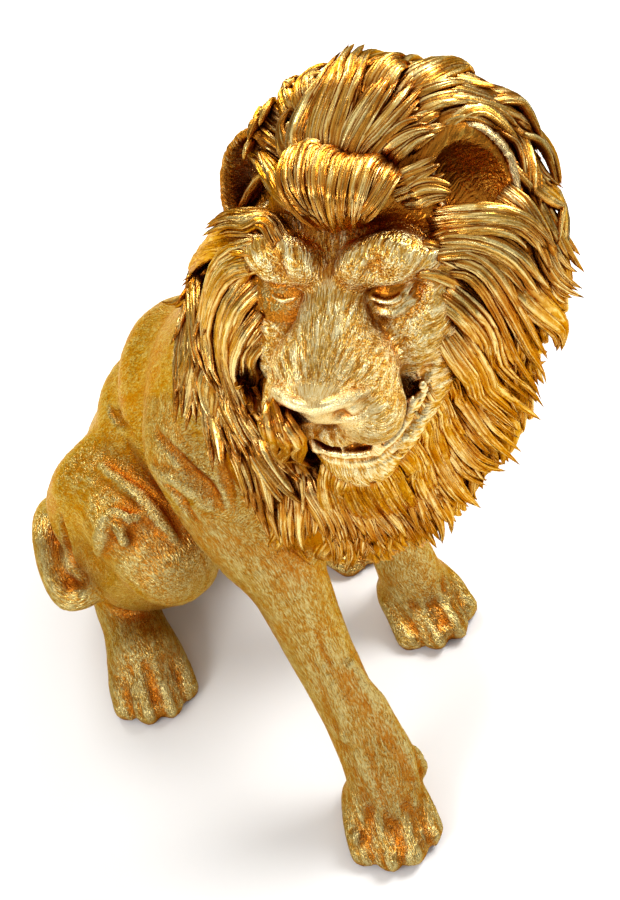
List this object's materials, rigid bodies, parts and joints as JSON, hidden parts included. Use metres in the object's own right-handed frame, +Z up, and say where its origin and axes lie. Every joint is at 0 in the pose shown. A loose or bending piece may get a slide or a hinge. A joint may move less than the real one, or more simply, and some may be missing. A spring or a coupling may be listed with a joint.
{
  "type": "resin lion statue",
  "caption": "Seated lion cast in resin with a gilt finish, head turned to its right, tail laid over the thigh, for standing on a shelf or table.",
  "frame": {"origin": "middle of the statue's outline on the plane that its four paws stand on", "axes": "+Z up, -Y the way the body faces, +X the lion's left"},
  "size_m": [0.1838, 0.3302, 0.4177],
  "materials": {
    "gilt_resin": "cast resin under gold leaf paint, brushed bright on raised hair, with orange-brown patina in the recesses"
  },
  "bodies": {
    "root": {"lion": "gilt_resin"}
  },
  "joints": []
}
